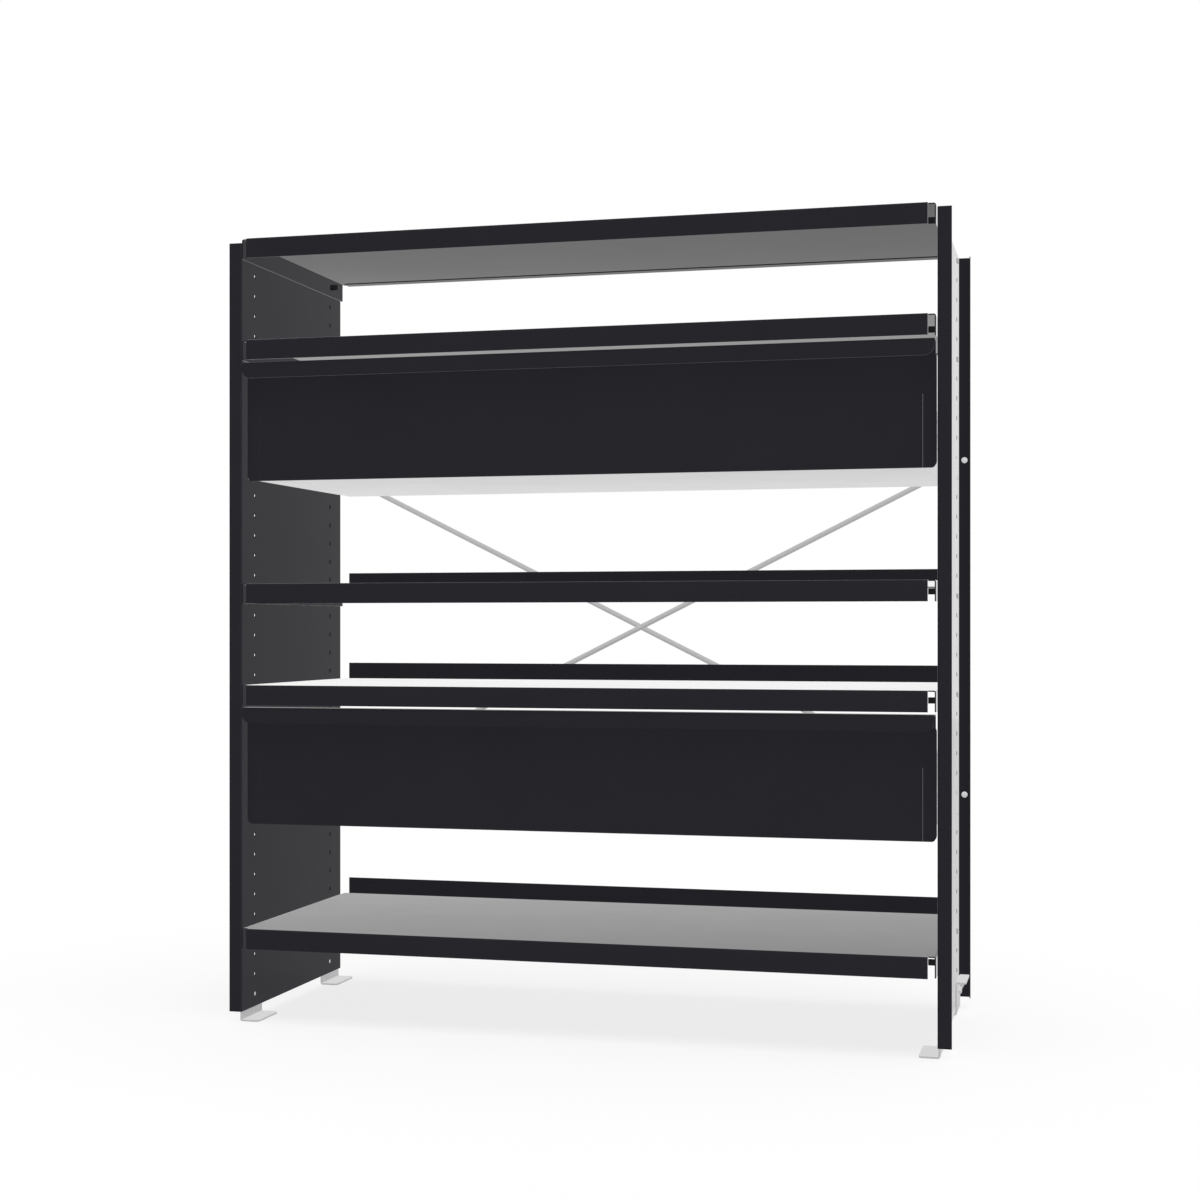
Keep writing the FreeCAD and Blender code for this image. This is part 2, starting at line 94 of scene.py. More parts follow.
# Broken edges: the normal turns over the last fraction of a millimetre, and a patchy mask says
# where handling has rubbed the finish.
broken_edges, given, wanted = effect(
    "broken_edges",
    [("Radius", "Float"), ("Patch Scale", "Float")],
    [("Normal", "Vector"), ("Rubbed", "Float")])
turned_over = add(broken_edges, "ShaderNodeBevel", {"Radius": given["Radius"]}, samples=4).outputs["Normal"]
face = add(broken_edges, "ShaderNodeNewGeometry", {}).outputs["Normal"]
agreement = add(broken_edges, "ShaderNodeVectorMath", {0: turned_over, 1: face}, operation="DOT_PRODUCT")
spot = add(broken_edges, "ShaderNodeTexCoord", {}).outputs["Object"]
patches = add(broken_edges, "ShaderNodeTexNoise",
              {"Vector": spot, "Scale": given["Patch Scale"], "Detail": 4.0, "Roughness": 0.65})
edge = add(broken_edges, "ShaderNodeMapRange",
           {"Value": agreement.outputs["Value"], "From Min": 0.995, "From Max": 0.82})
patch = add(broken_edges, "ShaderNodeMapRange",
            {"Value": patches.outputs["Fac"], "From Min": 0.38, "From Max": 0.68})
rubbed = add(broken_edges, "ShaderNodeMath",
             {0: edge.outputs["Result"], 1: patch.outputs["Result"]}, operation="MULTIPLY")
broken_edges.links.new(turned_over, wanted["Normal"])
broken_edges.links.new(rubbed.outputs["Value"], wanted["Rubbed"])

# Sprayed skin: the fine orange peel of a baked coat, with broad clouds where it flowed out a
# little glossier or duller, and fine flecks of settled dust.
sprayed_skin, given, wanted = effect(
    "sprayed_skin",
    [("Normal", "Vector"), ("Peel Scale", "Float"), ("Peel Depth", "Float")],
    [("Normal", "Vector"), ("Cloud", "Float"), ("Fleck", "Float")])
spot = add(sprayed_skin, "ShaderNodeTexCoord", {}).outputs["Object"]
peel = add(sprayed_skin, "ShaderNodeTexNoise",
           {"Vector": spot, "Scale": given["Peel Scale"], "Detail": 2.0})
ripple = add(sprayed_skin, "ShaderNodeBump",
             {"Height": peel.outputs["Fac"], "Distance": given["Peel Depth"], "Normal": given["Normal"]})
cloud = add(sprayed_skin, "ShaderNodeTexNoise",
            {"Vector": spot, "Scale": 9.0, "Detail": 5.0, "Roughness": 0.6})
fleck = add(sprayed_skin, "ShaderNodeTexNoise",
            {"Vector": spot, "Scale": 420.0, "Detail": 3.0, "Roughness": 0.7})
sprayed_skin.links.new(ripple.outputs["Normal"], wanted["Normal"])
sprayed_skin.links.new(cloud.outputs["Fac"], wanted["Cloud"])
sprayed_skin.links.new(fleck.outputs["Fac"], wanted["Fleck"])


def surface(name, edge_radius, patch_scale):
    """New material, its tree and shader, and the normal and mask of its broken edges."""
    material = bpy.data.materials.new(name)
    material.use_nodes = True
    tree = material.node_tree
    edges = add(tree, "ShaderNodeGroup", {"Radius": edge_radius, "Patch Scale": patch_scale},
                node_tree=broken_edges)
    return material, tree, tree.nodes["Principled BSDF"], edges.outputs


def coat(name, deep, pale, thin, gloss, dull, edge_radius, peel_depth, glare_limit, ior=1.12):
    """Sprayed or moulded finish. Deep and pale are the colours of its clouds, thin that of rubbed
    edges. It mirrors up to the glare limit where it is seen at a low angle."""
    material, tree, shader, edges = surface(name, edge_radius, patch_scale=60.0)
    skin = add(tree, "ShaderNodeGroup",
               {"Normal": edges["Normal"], "Peel Scale": 620.0, "Peel Depth": peel_depth},
               node_tree=sprayed_skin).outputs
    tone = mixed(tree, skin["Cloud"], deep, pale)
    worn = mixed(tree, edges["Rubbed"], tone, thin)
    sheen = add(tree, "ShaderNodeMapRange", {"Value": skin["Cloud"], "From Min": 0.3, "From Max": 0.7,
                                             "To Min": gloss, "To Max": dull})
    facing = add(tree, "ShaderNodeLayerWeight", {"Blend": 0.5}).outputs["Facing"]
    glare = add(tree, "ShaderNodeMapRange", {"Value": facing, "From Min": 0.82, "From Max": 0.96,
                                             "To Max": glare_limit})
    tree.links.new(worn, shader.inputs["Base Color"])
    tree.links.new(sheen.outputs["Result"], shader.inputs["Roughness"])
    tree.links.new(skin["Normal"], shader.inputs["Normal"])
    tree.links.new(glare.outputs["Result"], shader.inputs["Coat Weight"])
    shader.inputs["IOR"].default_value = ior
    shader.inputs["Coat Roughness"].default_value = 0.08
    return material


def dress(material, *nodes):
    """Gives carried-over pieces their finish. Every piece mirrors the surround, not its neighbours."""
    for node in nodes:
        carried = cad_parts[node]
        carried.visible_glossy = False
        for slot in carried.material_slots:
            slot.material = material


def ringed(outlines, sides, bored=False):
    """Skin through a row of outlines. An outline gives the point at a turn about its middle."""
    shape = bmesh.new()
    rings = [bmesh.ops.create_circle(shape, segments=sides, radius=1.0)["verts"]]
    first = edges = list(shape.edges)
    for _ in outlines[1:]:
        grown = bmesh.ops.extrude_edge_only(shape, edges=edges)["geom"]
        ring = {item for item in grown if isinstance(item, bmesh.types.BMVert)}
        edges = [item for item in grown
                 if isinstance(item, bmesh.types.BMEdge) and ring.issuperset(item.verts)]
        rings.append(ring)
    for ring, outline in zip(rings, outlines):
        for corner in ring:
            corner.co = outline(math.atan2(corner.co.y, corner.co.x))
    if bored:
        bmesh.ops.bridge_loops(shape, edges=first + edges)
    else:
        bmesh.ops.holes_fill(shape, edges=first + edges, sides=0)
    return shape


def circle_at(height, radius, flats=False):
    """Outline across the Z axis: a circle, or a hexagon of that radius to the middle of its flats."""
    def outline(turn):
        reach = radius
        if flats:
            reach = radius / math.cos((turn + math.pi / 6) % (math.pi / 3) - math.pi / 6)
        return reach * math.cos(turn), reach * math.sin(turn), height
    return outline


def turned(stations, sides=24, bored=False):
    """Piece turned about the Z axis through stations of height, radius and, for flats, True."""
    return ringed([circle_at(*station) for station in stations], sides, bored)


def moved(shape, matrix):
    """The shape at another place."""
    bmesh.ops.transform(shape, matrix=matrix, verts=shape.verts)
    return shape


def repeated(shape, places):
    """One mesh with a copy of the shape at each place."""
    pattern = bpy.data.meshes.new("pattern")
    shape.to_mesh(pattern)
    shape.free()
    together = bmesh.new()
    for matrix in places:
        copy = pattern.copy()
        copy.transform(matrix)
        together.from_mesh(copy)
        bpy.data.meshes.remove(copy)
    bpy.data.meshes.remove(pattern)
    return together


def piece(name, shape, material, body, slot, *stands_for):
    """Finished object from a shape, riding on a body and standing for carried-over pieces."""
    bmesh.ops.recalc_face_normals(shape, faces=shape.faces)
    mesh = bpy.data.meshes.new(name)
    shape.to_mesh(mesh)
    shape.free()
    mesh.polygons.foreach_set("use_smooth", [True] * len(mesh.polygons))
    mesh.set_sharp_from_angle(angle=math.radians(32))
    mesh.materials.append(material)
    made = bpy.data.objects.new(name, mesh)
    made.visible_glossy = False
    bpy.context.scene.collection.objects.link(made)
    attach(made, body)
    if stands_for:
        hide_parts(*stands_for)
    return made


deep_coat = (0.0122, 0.0114, 0.0152, 1)
pale_coat = (0.0148, 0.0140, 0.0180, 1)
thin_coat = (0.024, 0.023, 0.027, 1)
sheet_coat = coat("sheet_coat", deep_coat, pale_coat, thin_coat, gloss=0.12, dull=0.17,
                  edge_radius=0.2 * mm, peel_depth=0.004 * mm, glare_limit=0.9)
rim_coat = coat("rim_coat", deep_coat, pale_coat, thin_coat, gloss=0.45, dull=0.60,
                edge_radius=0.05 * mm, peel_depth=0.004 * mm, glare_limit=0.0, ior=1.05)
dress(sheet_coat, "left_side_panel", "right_side_panel")

along_x = Matrix.Rotation(math.radians(90), 4, "Y")
mirror_x = Matrix.Scale(-1, 4, (1, 0, 0))
panel_low, panel_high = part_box("left_side_panel")
web_inner = panel_high.x
web_outer = web_inner - panel_sheet
hole_columns = (panel_low.y + hole_column_inset, panel_high.y - hole_column_inset)


def row_height(row):
    return panel_low.z + first_hole_rise + row * hole_pitch


rim_half = panel_sheet / 2 + rim_build
rim_foot = panel_sheet / 2 + rim_edge_build
burr_half = panel_sheet / 2 + burr_build
rim = turned([(-burr_half, rim_bore), (rim_half, rim_bore), (rim_foot, rim_reach), (-rim_foot, rim_reach)],
             rim_sides, bored=True)
rim_places = []
for row in range(hole_count):
    if row not in covered_rows:
        for column in hole_columns:
            middle = Vector((web_inner - panel_sheet / 2, column, row_height(row)))
            rim_places.append(Matrix.Translation(middle) @ along_x)
left_rims = repeated(rim, rim_places)
right_rims = moved(left_rims.copy(), mirror_x)
piece("left_hole_rims", left_rims, rim_coat, "frame", "dark_coat")
piece("right_hole_rims", right_rims, rim_coat, "frame", "dark_coat")


# Shelves: five sheets folded down at the front and at both ends, open at the corners, with an
# angle riveted under the rear edge as a stop. Black moulded clips inside the end flanges, each a
# flat tab with a rib behind it, hook through the holes of the side panels with a pale end.
shelf_numbers = range(1, 6)
shelf_sheet = 1.5 * mm
stop_rivet_places = (-345 * mm, -115 * mm, 115 * mm, 345 * mm)
stop_rivet_inset = 9 * mm
stop_rivet = {"radius": 3.1 * mm, "height": 0.25 * mm, "root": 0.4 * mm}
clip_half_height = 3.7 * mm
tab_reach = 10.4 * mm
tab_front = -6.5 * mm
tab_back = -3.5 * mm
tab_low = -2.6 * mm
tab_high = 4.6 * mm
tab_round = 0.4 * mm
rib_length = 12 * mm
rib_end = 1.4 * mm
rib_high = 2.2 * mm
rib_root = 1 * mm
rib_setback = 0.5 * mm
rib_round = 0.2 * mm
pin_radius = 2.2 * mm
pin_root = 1 * mm
pin_chamfer = 0.4 * mm
hook_gap = 0.3 * mm
hook_size = (2.2 * mm, 4.0 * mm, 6.2 * mm)
hook_round = 0.4 * mm
clip_black = coat("clip_black", (0.008, 0.008, 0.009, 1), (0.012, 0.012, 0.013, 1), (0.014, 0.014, 0.015, 1),
                  gloss=0.60, dull=0.75, edge_radius=0.5 * mm, peel_depth=0.006 * mm, glare_limit=0.0)
hook_grey = coat("hook_grey", (0.34, 0.34, 0.35, 1), (0.42, 0.42, 0.43, 1), (0.50, 0.50, 0.51, 1),
                 gloss=0.35, dull=0.50, edge_radius=0.3 * mm, peel_depth=0.004 * mm, glare_limit=0.5)


def both_sides(places):
    """Places at the left and their mirror images at the right."""
    return places + [mirror_x @ matrix for matrix in places]


def there_and_back(half, length):
    """Stations from one end inward, and the same again in from the other end."""
    return half + [(length - along, *rest) for along, *rest in reversed(half)]


def dome(radius, height, root):
    """Low rivet head whose root reaches back into the metal."""
    return turned([(-root, radius * 0.5), (-root, radius * 0.94), (0.0, radius * 0.97),
                   (height * 0.25, radius), (height * 0.55, radius * 0.88),
                   (height * 0.82, radius * 0.62), (height, radius * 0.28)], 20)


def bevelled_block(low, high, radius, drawn_in=0.0):
    """Block between two corners with rounded edges. Its +X face can be drawn in at the +Y end."""
    shape = bmesh.new()
    bmesh.ops.create_cube(shape, size=1.0)
    middle = (Vector(low) + Vector(high)) / 2
    size = Vector(high) - Vector(low)
    bmesh.ops.scale(shape, vec=size, verts=shape.verts)
    bmesh.ops.translate(shape, vec=middle, verts=shape.verts)
    far = [corner for corner in shape.verts if corner.co.x > middle.x and corner.co.y > middle.y]
    bmesh.ops.translate(shape, vec=(-drawn_in, 0, 0), verts=far)
    bmesh.ops.bevel(shape, geom=list(shape.edges), offset=radius, offset_type="OFFSET", affect="EDGES",
                    segments=2, profile=0.5, material=-1)
    return shape


def merged(*shapes):
    """Several shapes as one."""
    together = bmesh.new()
    for shape in shapes:
        part = bpy.data.meshes.new("part")
        shape.to_mesh(part)
        shape.free()
        together.from_mesh(part)
        bpy.data.meshes.remove(part)
    return together


def hook_at(face, rise):
    """Hook on the outside of a web, hanging from the end of a pin."""
    return bevelled_block((face - hook_size[0], -hook_size[1] / 2, rise - hook_size[2]),
                          (face, hook_size[1] / 2, rise), hook_round)


def shelf_clip(seat):
    """Clip on the left end flange: a tab with a tapered rib behind it, a pin and a hook."""
    tab_end = seat + tab_reach
    tab = bevelled_block((seat, tab_front, tab_low), (tab_end, tab_back, tab_high), tab_round)
    rib = bevelled_block((seat, tab_back - rib_root, 0), (tab_end - rib_setback, rib_length, rib_high),
                         rib_round, tab_reach - rib_setback - rib_end)
    pin_start = web_outer - hook_gap
    pin_length = seat + pin_root - pin_start
    pin = turned(there_and_back([(0.0, pin_radius - pin_chamfer), (0.0, pin_radius)], pin_length), 20)
    pin = moved(pin, Matrix.Translation((pin_start, 0, 0)) @ along_x)
    hook = hook_at(pin_start, pin_radius)
    for face in hook.faces:
        face.material_index = 1
    return merged(tab, rib, pin, hook)


facing_down = Matrix.Rotation(math.pi, 4, "X")
for number in shelf_numbers:
    dress(sheet_coat, "shelf_%d" % number, "rear_stop_%d" % number)
    shelf_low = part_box("shelf_%d" % number)[0]
    clip_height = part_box("shelf_clips_%d" % number)[1].z - clip_half_height
    places = [Matrix.Translation((0, column, clip_height)) for column in hole_columns]
    clips = repeated(shelf_clip(shelf_low.x + shelf_sheet), both_sides(places))
    made = piece("moulded_clips_%d" % number, clips, clip_black, "frame", "dark_coat",
                 "shelf_clips_%d" % number)
    made.data.materials.append(hook_grey)

    stop_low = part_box("rear_stop_%d" % number)[0]
    places = [Matrix.Translation((x, stop_low.y + stop_rivet_inset, stop_low.z)) @ facing_down
              for x in stop_rivet_places]
    piece("stop_rivets_%d" % number, repeated(dome(**stop_rivet), places), sheet_coat, "frame", "dark_coat")


# Drawers: a front folded over to a finger lip, its side edges rolled to a bead, and behind it a
# low coated tray with hemmed walls. An extruded bar riveted along each wall runs with a plastic
# roller in a channel that is hooked to the panel.
tray_sheet = 1.2 * mm
drawer_sheet = 1.5 * mm
drawer_drop = 8.9 * mm
track_rise = 37.5 * mm
slit_height = 84 * mm
rail_rivet_places = (-128 * mm, -52 * mm, 24 * mm, 100 * mm)
rail_rivet = {"radius": 2.9 * mm, "height": 1.0 * mm, "root": 0.3 * mm}
pip_inset = 4.5 * mm
front_pip = {"radius": 1.2 * mm, "height": 0.4 * mm, "root": 0.2 * mm}
bead_radius = 1.2 * mm
bead_taper = ((0.0, 0.1), (0.8, 0.62), (2.2, 1.0), (4.0, 1.2))  # mm along the axis, and radius
bead_low = 3.6 * mm
bead_high = 16 * mm
lip_bead_low = 11 * mm
lip_bead_high = 1.0 * mm
roller_width = 4.8 * mm
roller_hub = ((0.0, 2.6), (0.0, 4.0), (0.6, 4.3), (0.6, 5.4), (0.1, 5.7))
tread_round = 0.5 * mm
tread_inset = 0.1 * mm
runner_sheet = 1.2 * mm
runner_rivet = {"radius": 4.0 * mm, "height": 1.4 * mm, "root": 0.3 * mm}
shank_end = 1.2 * mm
front_coat = coat("front_coat", (0.0138, 0.0130, 0.0167, 1), (0.0163, 0.0155, 0.0194, 1), thin_coat,
                  gloss=0.30, dull=0.36, edge_radius=0.12 * mm, peel_depth=0.004 * mm,
                  glare_limit=0.2, ior=1.08)

# Drawn grain: fine lines along the length of rolled, extruded or drawn metal, with the dull
# clouds of bare aluminium.
drawn_grain, given, wanted = effect(
    "drawn_grain",
    [("Vector", "Vector"), ("Normal", "Vector"), ("Depth", "Float")],
    [("Normal", "Vector"), ("Line", "Float"), ("Cloud", "Float")])
line = add(drawn_grain, "ShaderNodeTexNoise",
           {"Vector": given["Vector"], "Scale": 1.0, "Detail": 3.0, "Roughness": 0.7})
score = add(drawn_grain, "ShaderNodeBump",
            {"Height": line.outputs["Fac"], "Distance": given["Depth"], "Normal": given["Normal"]})
spot = add(drawn_grain, "ShaderNodeTexCoord", {}).outputs["Object"]
cloud = add(drawn_grain, "ShaderNodeTexNoise",
            {"Vector": spot, "Scale": 24.0, "Detail": 5.0, "Roughness": 0.62})
drawn_grain.links.new(score.outputs["Normal"], wanted["Normal"])
drawn_grain.links.new(line.outputs["Fac"], wanted["Line"])
drawn_grain.links.new(cloud.outputs["Fac"], wanted["Cloud"])


def metal(name, grey, bright, polished, gloss, dull, stretch, depth, edge_radius):
    """Bare metal with grain. Stretch is lines per metre along each axis."""
    material, tree, shader, edges = surface(name, edge_radius, patch_scale=90.0)
    spot = add(tree, "ShaderNodeTexCoord", {}).outputs["Object"]
    drawn = add(tree, "ShaderNodeVectorMath", {0: spot, 1: stretch}, operation="MULTIPLY")
    grain = add(tree, "ShaderNodeGroup",
                {"Vector": drawn.outputs["Vector"], "Normal": edges["Normal"], "Depth": depth},
                node_tree=drawn_grain).outputs
    tone = mixed(tree, grain["Cloud"], grey, bright)
    worn = mixed(tree, edges["Rubbed"], tone, polished)
    blend = add(tree, "ShaderNodeMath", {0: grain["Line"], 1: grain["Cloud"]}, operation="ADD")
    sheen = add(tree, "ShaderNodeMapRange", {"Value": blend.outputs["Value"], "From Min": 0.7,
                                             "From Max": 1.3, "To Min": gloss, "To Max": dull})
    tree.links.new(worn, shader.inputs["Base Color"])
    tree.links.new(sheen.outputs["Result"], shader.inputs["Roughness"])
    tree.links.new(grain["Normal"], shader.inputs["Normal"])
    shader.inputs["Metallic"].default_value = 1.0
    return material


extruded_bar = metal("extruded_bar", (0.52, 0.53, 0.54, 1), (0.66, 0.67, 0.68, 1), (0.80, 0.80, 0.81, 1),
                     gloss=0.30, dull=0.46, stretch=(900.0, 6.0, 900.0), depth=0.004 * mm,
                     edge_radius=0.3 * mm)
plated_steel = metal("plated_steel", (0.58, 0.58, 0.59, 1), (0.74, 0.74, 0.75, 1), (0.86, 0.86, 0.87, 1),
                     gloss=0.24, dull=0.38, stretch=(300.0, 300.0, 300.0), depth=0.003 * mm,
                     edge_radius=0.25 * mm)

roller_white, tree, shader, edges = surface("roller_white", edge_radius=0.3 * mm, patch_scale=200.0)
skin = add(tree, "ShaderNodeGroup",
           {"Normal": edges["Normal"], "Peel Scale": 900.0, "Peel Depth": 0.008 * mm},
           node_tree=sprayed_skin).outputs
tone = mixed(tree, skin["Fleck"], (0.66, 0.65, 0.60, 1), (0.78, 0.77, 0.73, 1))
scuffed = mixed(tree, edges["Rubbed"], tone, (0.50, 0.49, 0.46, 1))
sheen = add(tree, "ShaderNodeMapRange", {"Value": skin["Cloud"], "To Min": 0.35, "To Max": 0.6})
tree.links.new(scuffed, shader.inputs["Base Color"])
tree.links.new(sheen.outputs["Result"], shader.inputs["Roughness"])
tree.links.new(skin["Normal"], shader.inputs["Normal"])

facing_front = Matrix.Rotation(math.radians(90), 4, "X")
flattened = Matrix.Scale(drawer_sheet / 2 / bead_radius, 4, (0, 1, 0))
for drawer in ("upper", "lower"):
    body = drawer + "_drawer"
    dress(front_coat, body + "_front")
    dress(sheet_coat, body + "_bottom", body + "_left_side", body + "_right_side", body + "_back")
    dress(extruded_bar, body + "_left_rail", body + "_right_rail",
          drawer + "_runner_left", drawer + "_runner_right")
    bottom_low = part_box(body + "_bottom")[0]
    side_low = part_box(body + "_left_side")[0]
    front_low, front_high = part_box(body + "_front")
    front_panel = front_high.y - drawer_sheet
    height = bottom_low.z + drawer_drop

    wall = side_low.x + tray_sheet
    places = [Matrix.Translation((wall, y, height + track_rise)) @ along_x for y in rail_rivet_places]
    piece(body + "_rail_rivets", repeated(dome(**rail_rivet), both_sides(places)), plated_steel,
          body, "hardware")

    places = [Matrix.Translation((x, front_panel, bottom_low.z + slit_height)) @ facing_front
              for x in (front_low.x + pip_inset, front_high.x - pip_inset)]
    piece(body + "_front_pips", repeated(dome(**front_pip), places), sheet_coat, body, "dark_coat")

    beads = []
    for face, low, high in ((front_panel, front_low.z + bead_low, front_high.z - bead_high),
                            (front_low.y, front_high.z - lip_bead_low, front_high.z - lip_bead_high)):
        places = [Matrix.Translation((x, face + drawer_sheet / 2, low)) @ flattened
                  for x in (front_low.x, front_high.x)]
        half = [(z * mm, radius * mm) for z, radius in bead_taper]
        beads.append(repeated(turned(there_and_back(half, high - low), 16), places))
    piece(body + "_front_beads", merged(*beads), front_coat, body, "dark_coat")

    rollers_low, rollers_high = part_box(body + "_rollers")
    tread = (rollers_high.z - rollers_low.z) / 2
    tread_centre = (rollers_low + rollers_high) / 2
    half = [(x * mm, radius * mm) for x, radius in roller_hub]
    half += [(tread_inset, tread - tread_round), (tread_round, tread)]
    roller = turned(there_and_back(half, roller_width), 32, bored=True)
    place = Matrix.Translation((rollers_low.x, tread_centre.y, tread_centre.z)) @ along_x
    piece(body + "_moulded_rollers", repeated(roller, both_sides([place])), roller_white,
          body, "roller_plastic", body + "_rollers")

    seat = web_inner + runner_sheet
    tail = web_outer - hook_gap
    rivets = []
    for column in hole_columns:
        shank = turned(there_and_back([(0.0, shank_end), (0.0, pin_radius)], seat - tail), 20)
        rivets += [moved(dome(**runner_rivet), Matrix.Translation((seat, column, height)) @ along_x),
                   moved(shank, Matrix.Translation((tail, column, height)) @ along_x),
                   moved(hook_at(tail, pin_radius), Matrix.Translation((0, column, height)))]
    piece(drawer + "_runner_hooked_rivets", repeated(merged(*rivets), both_sides([Matrix.Identity(4)])),
          plated_steel, "frame", "hardware", drawer + "_runner_rivets")


# Foot brackets: four short lengths of pale bare strip, folded to a plate on the floor, a leg up
# the outside of the web and a stiffening flange with a gusset under its end. A stud pressed flush
# into the lowest hole and a nut hold each of them.
foot_sheet = 2.0 * mm
gusset_drop = 20 * mm
gusset_tip = 0.6 * mm
gusset_root = 0.5 * mm
gusset_overlap = 0.3 * mm
gusset_round = 0.2 * mm
nut_height = 4.0 * mm
nut_half = 4.0 * mm
nut_face_share = 0.96
nut_chamfer = 0.45 * mm
nut_bore = 2.5 * mm
bore_chamfer = 0.4 * mm
bore_flare = 0.35 * mm
stud_radius = 2.3 * mm
stud_tail = 0.5 * mm
stud_point = 0.5 * mm
stud_dish = 0.15 * mm
stud_dish_radius = 0.8 * mm
stud_face = 0.05 * mm
stud_edge = 0.3 * mm
stud_turns = 7
crest_inset = 0.05 * mm
root_inset = 0.3 * mm
thread_depth = 0.25 * mm
bracket_strip = metal("bracket_strip", (0.51, 0.51, 0.52, 1), (0.63, 0.63, 0.64, 1), (0.74, 0.74, 0.75, 1),
                      gloss=0.22, dull=0.32, stretch=(700.0, 8.0, 700.0), depth=0.006 * mm,
                      edge_radius=0.4 * mm)
dress(bracket_strip, "foot_front_left", "foot_front_right", "foot_rear_left", "foot_rear_right")


def hexagon_nut():
    """Nut with its corners turned off at both faces, seat at height 0."""
    outside = there_and_back([(0.0, nut_bore + bore_flare), (0.0, nut_half * nut_face_share),
                              (nut_chamfer, nut_half, True)], nut_height)
    bore = [(nut_height - bore_chamfer, nut_bore), (bore_chamfer, nut_bore)]
    return turned(outside + bore, 24, bored=True)


facing_left = Matrix.Rotation(math.radians(-90), 4, "Y")
bolt_height = row_height(0)
nut_seat = web_outer - foot_sheet
places = [Matrix.Translation((nut_seat, column, bolt_height)) @ facing_left for column in hole_columns]
piece("foot_hexagon_nuts", repeated(hexagon_nut(), both_sides(places)), plated_steel,
      "frame", "hardware", "foot_nuts")

rear_foot_low, rear_foot_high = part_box("foot_rear_left")
front_foot_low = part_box("foot_front_left")[0]
gusset_reach = nut_seat - rear_foot_low.x
gusset = bevelled_block((-gusset_root, -gusset_overlap, 0), (gusset_reach, gusset_drop, foot_sheet),
                        gusset_round, gusset_reach - gusset_tip)
hung = Matrix(((-1, 0, 0, 0), (0, 0, -1, 0), (0, -1, 0, 0), (0, 0, 0, 1)))
places = [Matrix.Translation((nut_seat, end, rear_foot_high.z - foot_sheet)) @ hung
          for end in (rear_foot_high.y, front_foot_low.y + foot_sheet)]
piece("foot_gussets", repeated(gusset, both_sides(places)), bracket_strip, "frame", "bare_metal")

thread_start = panel_sheet + foot_sheet
thread_length = nut_height + stud_tail
stations = [(stud_dish, stud_dish_radius), (stud_face, nut_bore - stud_edge), (stud_edge, nut_bore),
            (panel_sheet, nut_bore), (panel_sheet, stud_radius)]
for turn in range(stud_turns):
    z = thread_start + thread_length * turn / stud_turns
    stations += [(z + crest_inset, stud_radius), (z + root_inset, stud_radius - thread_depth)]
stations += [(thread_start + thread_length, stud_radius - stud_point)]
places = [Matrix.Translation((web_inner, column, bolt_height)) @ facing_left for column in hole_columns]
piece("pressed_studs", repeated(turned(stations, 20), both_sides(places)), plated_steel,
      "frame", "hardware", "foot_studs")


# Cross brace: two equal drawn rods with flattened ends, one turned over so that they pass where
# they cross. Each end is bolted through the rear flange of a panel, off a turned spacer.
rod_radius = 3.5 * mm
rod_offset = 3.65 * mm
rod_low_rise = 260.1 * mm
rod_high_drop = 259.9 * mm
eye_half = 1.5 * mm
eye_reach = 6.0 * mm
eye_turns = (12, 26, 42, 60, 78)
taper_start = 14.0 * mm
taper_length = 24.0 * mm
taper_steps = 8
spacer_length = 21.5 * mm
spacer_radius = 5.0 * mm
spacer_bore = 2.6 * mm
spacer_chamfer = 0.4 * mm
bolt_radius = 2.2 * mm
bolt_root = 1.95 * mm
bolt_turns = 12
bolt_pitch = 0.7 * mm
bolt_thread = 9 * mm
bolt_point = ((0.0, 1.5), (0.1, 1.9))
bolt_point_length = 0.2 * mm
bolt_head = ((0.0, 3.75), (0.2, 3.85), (1.1, 3.85), (1.7, 3.5), (2.2, 2.95), (2.5, 2.35), (2.6, 1.9))
socket_half = 1.5 * mm
socket_mouth = 2.6 * mm
socket_floor = 1.0 * mm
drawn_rod = metal("drawn_rod", (0.50, 0.50, 0.505, 1), (0.61, 0.61, 0.615, 1), (0.70, 0.70, 0.705, 1),
                  gloss=0.48, dull=0.62, stretch=(12.0, 700.0, 700.0), depth=0.004 * mm,
                  edge_radius=0.3 * mm)

rod_heights = (panel_low.z + rod_low_rise, panel_high.z - rod_high_drop)
rear_face = panel_high.y
brace_x = (web_outer + panel_low.x + panel_sheet) / 2
eye_plane = rear_face + spacer_length + eye_half
rod_run = -2 * brace_x
rod_climb = rod_heights[1] - rod_heights[0]
rod_length = math.hypot(rod_run, rod_climb)
rod_angle = math.atan2(rod_climb, rod_run)


def flattened_at(x, share, wide, side):
    """Outline across a rod: pressed flat at share 0, round and set off to one side at share 1."""
    ease = share * share * (3 - 2 * share)
    power = 2 / (2 + 5 * (1 - ease))
    half_thick = eye_half + (rod_radius - eye_half) * ease
    half_wide = wide + (rod_radius - wide) * ease

    def outline(turn):
        across, up = math.cos(turn), math.sin(turn)
        return (x, side * rod_offset * ease + math.copysign(abs(across) ** power, across) * half_thick,
                math.copysign(abs(up) ** power, up) * half_wide)
    return outline


def round_rod(side):
    """Rod along +X from one bolt to the other, with a rounded flat eye at each end."""
    half = [(-eye_reach * math.cos(math.radians(turn)), 0.0, eye_reach * math.sin(math.radians(turn)))
            for turn in eye_turns]
    half += [(0.0, 0.0, eye_reach), (taper_start, 0.0, eye_reach)]
    half += [(taper_start + taper_length * step / taper_steps, step / taper_steps, eye_reach)
             for step in range(1, taper_steps + 1)]
    stations = there_and_back(half, rod_length)
    return ringed([flattened_at(x, share, wide, side) for x, share, wide in stations], 32)


